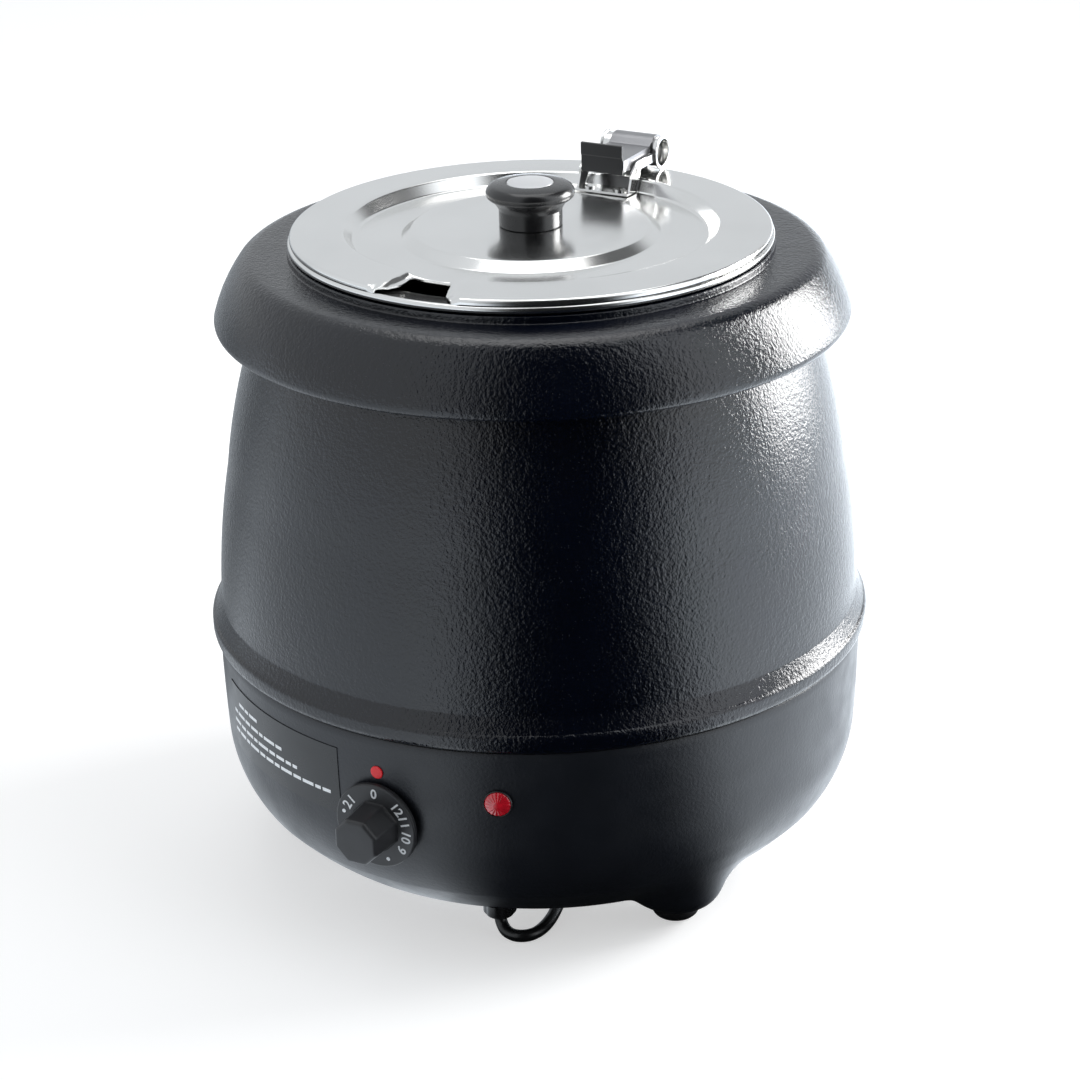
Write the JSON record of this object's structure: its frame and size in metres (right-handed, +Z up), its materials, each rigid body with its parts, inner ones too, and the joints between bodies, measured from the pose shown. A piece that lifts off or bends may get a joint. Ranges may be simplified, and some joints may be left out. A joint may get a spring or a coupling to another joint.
{
  "type": "soup kettle",
  "caption": "Counter-top soup kettle: black barrel-shaped body, lift-out steel pot, hinged polished lid with knob and ladle notch, front dial and lamp, mains cord.",
  "frame": {"origin": "on the kettle's upright axis, at the level of the table it stands on", "axes": "+Z up along the kettle's axis; -Y out of the front, where the dial is; +X to the right for someone who faces the dial"},
  "size_m": [0.3368, 0.4337, 0.35],
  "materials": {
    "black_hammered": "hammered powder coat, semi-gloss",
    "black_satin": "satin powder coat",
    "black_rubber": "matte",
    "zinc_steel": "zinc plated",
    "galvanised_sheet": "galvanised",
    "stainless_brushed": "brushed",
    "stainless_polished": "mirror polished",
    "silicone": "smooth",
    "aluminium_plate": "rolled",
    "phenolic_black": "moulded, slight gloss",
    "dial_black": "moulded satin",
    "knob_disc": "satin disc",
    "red_paint": "painted",
    "lamp_red": "translucent red",
    "bezel_black": "moulded",
    "label_black": "printed film, blank",
    "nylon_white": "moulded nylon",
    "copper": "drawn copper",
    "cord_black": "flexible cord sheath",
    "brass_pins": "nickel-free brass"
  },
  "bodies": {
    "root": {"base_shell": "black_satin", "body_shell": "black_hammered", "bottom_cover": "galvanised_sheet", "bottom_cover_screws": "zinc_steel", "bulb_clip": "zinc_steel", "capillary": "copper", "collar_gasket": "silicone", "cord_coil": "cord_black", "cord_gland": "cord_black", "earth_stud": "zinc_steel", "element_clamp": "zinc_steel", "foot_screws": "zinc_steel", "gland_nut": "zinc_steel", "heat_shield": "galvanised_sheet", "heating_element": "stainless_brushed", "indicator_bezel": "bezel_black", "indicator_body": "phenolic_black", "indicator_lens": "lamp_red", "indicator_nut": "phenolic_black", "info_label": "label_black", "left_foot": "black_rubber", "locating_ring": "zinc_steel", "plug_body": "cord_black", "plug_pins": "brass_pins", "rear_foot": "black_rubber", "reference_dot": "red_paint", "right_foot": "black_rubber", "sensor_bulb": "copper", "spreader_plate": "aluminium_plate", "supply_cord": "cord_black", "terminal_block": "nylon_white", "terminal_screws": "zinc_steel", "thermal_cutout": "phenolic_black", "thermostat_body": "phenolic_black", "thermostat_screws": "zinc_steel", "tie_rod_nuts": "zinc_steel", "tie_rods": "zinc_steel", "top_collar": "black_hammered", "water_well": "stainless_brushed", "well_stud_nuts": "zinc_steel", "well_studs": "zinc_steel", "wiring": "cord_black"},
    "dial": {"control_knob": "dial_black", "thermostat_shaft": "zinc_steel"},
    "pot": {"inner_pot": "stainless_brushed", "pot_clip": "stainless_brushed"},
    "lid": {"lid": "stainless_polished", "lid_knob": "phenolic_black", "lid_knob_cap": "knob_disc", "lid_knob_washer": "stainless_brushed", "lid_knob_screw": "stainless_brushed", "hinge_bracket": "stainless_polished", "bracket_rivets": "stainless_polished", "left_hinge_barrel": "stainless_polished", "right_hinge_barrel": "stainless_polished", "hinge_pin": "stainless_polished", "lever_spring": "stainless_polished"},
    "lever": {"clip_lever": "phenolic_black"}
  },
  "joints": [
    {"name": "dial_turn", "type": "hinge", "parent": "root", "child": "dial", "pos_m": [0, -0.16, 0.077], "axis": [0, 1, 0], "range_deg": [0, 310]},
    {"name": "pot_lift", "type": "slide", "parent": "root", "child": "pot", "axis": [0, 0, 1], "range_m": [0, 0.3]},
    {"name": "lid_hinge", "type": "hinge", "parent": "pot", "child": "lid", "pos_m": [0, 0.1155, 0.3368], "axis": [-1, 0, 0], "range_deg": [0, 95]},
    {"name": "lever_press", "type": "hinge", "parent": "lid", "child": "lever", "pos_m": [0, 0.1155, 0.3368], "axis": [1, 0, 0], "range_deg": [0, 10], "stiffness_Nm_per_rad": 0.8, "springref_deg": -5.73, "deforming": ["lever_spring"]}
  ]
}
